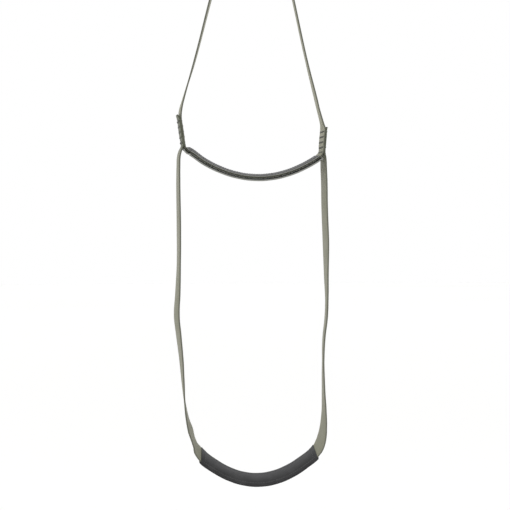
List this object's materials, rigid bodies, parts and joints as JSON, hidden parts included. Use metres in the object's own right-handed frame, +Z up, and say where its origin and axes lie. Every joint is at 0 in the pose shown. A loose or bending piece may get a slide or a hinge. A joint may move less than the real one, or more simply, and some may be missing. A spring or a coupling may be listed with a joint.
{
  "type": "two-step webbing foot ladder",
  "caption": "Hanging two-step foot ladder sewn from flat olive webbing, with folded black sleeves on both curved steps and a sewn eye at the top.",
  "frame": {"origin": "the middle of the bar that the sewn eye hangs on, which is the centre of the eye's round top", "axes": "+Z is up along the hanging ladder, +X runs along the steps from the left strap to the right strap, +Y runs across the webbing; -Y is the side seen from the front"},
  "size_m": [0.2117, 0.0284, 0.9527],
  "materials": {
    "webbing": "woven flat nylon",
    "sleeve_cloth": "coarse coated cloth",
    "stiffener_sheet": "milky sheet",
    "tack_thread": "bonded thread",
    "seam_thread": "bonded thread"
  },
  "bodies": {
    "hang_eye": {"eye_inner_webbing": "webbing", "eye_outer_webbing": "webbing", "eye_bar_tacks": "tack_thread"},
    "upper_loop": {"left_leg_webbing": "webbing", "right_leg_webbing": "webbing", "left_sewn_strap_end": "webbing", "right_sewn_strap_end": "webbing", "left_joint_bar_tacks": "tack_thread", "right_joint_bar_tacks": "tack_thread"},
    "upper_step": {"upper_step_webbing": "webbing", "upper_step_stiffener": "stiffener_sheet", "upper_step_sleeve": "sleeve_cloth", "upper_step_seam_stitching": "seam_thread", "upper_step_end_stitching": "seam_thread"},
    "lower_loop": {"left_side_strap": "webbing", "right_side_strap": "webbing"},
    "lower_step": {"lower_step_webbing": "webbing", "lower_step_stiffener": "stiffener_sheet", "lower_step_sleeve": "sleeve_cloth", "lower_step_seam_stitching": "seam_thread", "lower_step_end_stitching": "seam_thread"}
  },
  "joints": [
    {"name": "ladder_swing", "type": "hinge", "parent": "hang_eye", "child": "upper_loop", "pos_m": [0, 0, -0.0728], "axis": [1, 0, 0], "range_deg": [-80, 80]},
    {"name": "upper_step_roll", "type": "hinge", "parent": "upper_loop", "child": "upper_step", "pos_m": [0, 0, -0.49], "axis": [1, 0, 0], "range_deg": [-40, 40]},
    {"name": "lower_loop_fold", "type": "hinge", "parent": "upper_loop", "child": "lower_loop", "pos_m": [0, 0, -0.508], "axis": [1, 0, 0], "range_deg": [-90, 90]},
    {"name": "lower_step_roll", "type": "hinge", "parent": "lower_loop", "child": "lower_step", "pos_m": [0, 0, -0.892], "axis": [1, 0, 0], "range_deg": [-40, 40]}
  ]
}
